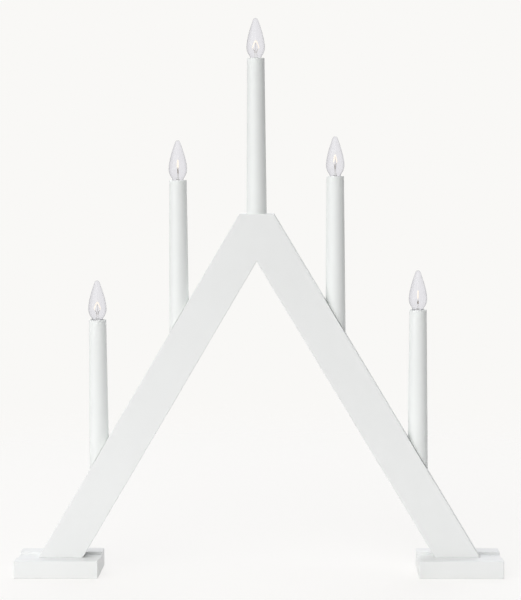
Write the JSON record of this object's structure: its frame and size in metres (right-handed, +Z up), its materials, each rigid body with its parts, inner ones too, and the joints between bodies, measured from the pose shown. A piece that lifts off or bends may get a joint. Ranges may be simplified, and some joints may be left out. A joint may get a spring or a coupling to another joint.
{
  "type": "electric advent candlestick",
  "caption": "Inverted-V wooden stand on two grooved feet that carries upright candle-shaped lamp holders with drop-shaped screw lamps, rising in steps to the apex.",
  "frame": {"origin": "on the floor under the middle of the stand, midway between the feet and between front and back", "axes": "+Z up along the top candle, +X along the stand to the right seen from the front, +Y to the back, where the covered wire channel is"},
  "size_m": [0.4412, 0.054, 0.5017],
  "materials": {
    "painted_wood": "smooth satin white paint over wood",
    "candle_plastic": "satin white moulded sleeve",
    "holder_plastic": "matt off-white moulding",
    "cover_strip": "thin white-painted fibreboard strip",
    "contact_brass": "bright pressed sheet",
    "cap_metal": "nickel-plated screw cap",
    "clear_glass": "clear thin glass",
    "stem_glass": "thick pressed glass stem",
    "filament": "glowing wire",
    "zinc_steel": "zinc-plated wood screw",
    "beech": "bare turned dowel",
    "wire_insulation": "white insulated conductor"
  },
  "bodies": {
    "stand": {"left_leg": "painted_wood", "right_leg": "painted_wood", "left_foot": "painted_wood", "right_foot": "painted_wood", "left_foot_screw_inner": "zinc_steel", "left_foot_screw_outer": "zinc_steel", "right_foot_screw_inner": "zinc_steel", "right_foot_screw_outer": "zinc_steel", "apex_dowel_lower": "beech", "apex_dowel_upper": "beech", "left_channel_cover": "cover_strip", "right_channel_cover": "cover_strip", "cord_inlet_bush": "holder_plastic", "wire_inlet_to_outer_left": "wire_insulation", "wire_outer_left_to_inner_left": "wire_insulation", "wire_inner_left_to_top": "wire_insulation", "wire_top_to_inner_right": "wire_insulation", "wire_inner_right_to_outer_right": "wire_insulation", "wire_outer_right_to_inlet": "wire_insulation", "outer_left_candle_tube": "candle_plastic", "outer_left_lamp_holder": "holder_plastic", "outer_left_screw_shell": "contact_brass", "outer_left_centre_contact": "contact_brass", "inner_left_candle_tube": "candle_plastic", "inner_left_lamp_holder": "holder_plastic", "inner_left_screw_shell": "contact_brass", "inner_left_centre_contact": "contact_brass", "top_candle_tube": "candle_plastic", "top_lamp_holder": "holder_plastic", "top_screw_shell": "contact_brass", "top_centre_contact": "contact_brass", "inner_right_candle_tube": "candle_plastic", "inner_right_lamp_holder": "holder_plastic", "inner_right_screw_shell": "contact_brass", "inner_right_centre_contact": "contact_brass", "outer_right_candle_tube": "candle_plastic", "outer_right_lamp_holder": "holder_plastic", "outer_right_screw_shell": "contact_brass", "outer_right_centre_contact": "contact_brass"},
    "outer_left_glass": {"outer_left_bulb_glass": "clear_glass"},
    "outer_left_cap": {"outer_left_bulb_base": "cap_metal", "outer_left_bulb_stem": "stem_glass", "outer_left_bulb_filament": "filament"},
    "inner_left_glass": {"inner_left_bulb_glass": "clear_glass"},
    "inner_left_cap": {"inner_left_bulb_base": "cap_metal", "inner_left_bulb_stem": "stem_glass", "inner_left_bulb_filament": "filament"},
    "top_glass": {"top_bulb_glass": "clear_glass"},
    "top_cap": {"top_bulb_base": "cap_metal", "top_bulb_stem": "stem_glass", "top_bulb_filament": "filament"},
    "inner_right_glass": {"inner_right_bulb_glass": "clear_glass"},
    "inner_right_cap": {"inner_right_bulb_base": "cap_metal", "inner_right_bulb_stem": "stem_glass", "inner_right_bulb_filament": "filament"},
    "outer_right_glass": {"outer_right_bulb_glass": "clear_glass"},
    "outer_right_cap": {"outer_right_bulb_base": "cap_metal", "outer_right_bulb_stem": "stem_glass", "outer_right_bulb_filament": "filament"}
  },
  "joints": [
    {"name": "outer_left_bulb_rise", "type": "slide", "parent": "stand", "child": "outer_left_glass", "axis": [0, 0, 1], "range_m": [0, 0.0068]},
    {"name": "outer_left_bulb_turn", "type": "hinge", "parent": "outer_left_glass", "child": "outer_left_cap", "pos_m": [-0.1448, 0, 0.225], "axis": [0, 0, 1], "range_deg": [0, 1350]},
    {"name": "inner_left_bulb_rise", "type": "slide", "parent": "stand", "child": "inner_left_glass", "axis": [0, 0, 1], "range_m": [0, 0.0068]},
    {"name": "inner_left_bulb_turn", "type": "hinge", "parent": "inner_left_glass", "child": "inner_left_cap", "pos_m": [-0.0706, 0, 0.35], "axis": [0, 0, 1], "range_deg": [0, 1350]},
    {"name": "top_bulb_rise", "type": "slide", "parent": "stand", "child": "top_glass", "axis": [0, 0, 1], "range_m": [0, 0.0068]},
    {"name": "top_bulb_turn", "type": "hinge", "parent": "top_glass", "child": "top_cap", "pos_m": [0, 0, 0.459], "axis": [0, 0, 1], "range_deg": [0, 1350]},
    {"name": "inner_right_bulb_rise", "type": "slide", "parent": "stand", "child": "inner_right_glass", "axis": [0, 0, 1], "range_m": [0, 0.0068]},
    {"name": "inner_right_bulb_turn", "type": "hinge", "parent": "inner_right_glass", "child": "inner_right_cap", "pos_m": [0.0706, 0, 0.352], "axis": [0, 0, 1], "range_deg": [0, 1350]},
    {"name": "outer_right_bulb_rise", "type": "slide", "parent": "stand", "child": "outer_right_glass", "axis": [0, 0, 1], "range_m": [0, 0.0068]},
    {"name": "outer_right_bulb_turn", "type": "hinge", "parent": "outer_right_glass", "child": "outer_right_cap", "pos_m": [0.1448, 0, 0.232], "axis": [0, 0, 1], "range_deg": [0, 1350]}
  ],
  "couplings": [
    {"joint": "outer_left_bulb_turn", "follows": "outer_left_bulb_rise", "rad_per_m": 3463.7},
    {"joint": "inner_left_bulb_turn", "follows": "inner_left_bulb_rise", "rad_per_m": 3463.7},
    {"joint": "top_bulb_turn", "follows": "top_bulb_rise", "rad_per_m": 3463.7},
    {"joint": "inner_right_bulb_turn", "follows": "inner_right_bulb_rise", "rad_per_m": 3463.7},
    {"joint": "outer_right_bulb_turn", "follows": "outer_right_bulb_rise", "rad_per_m": 3463.7}
  ]
}
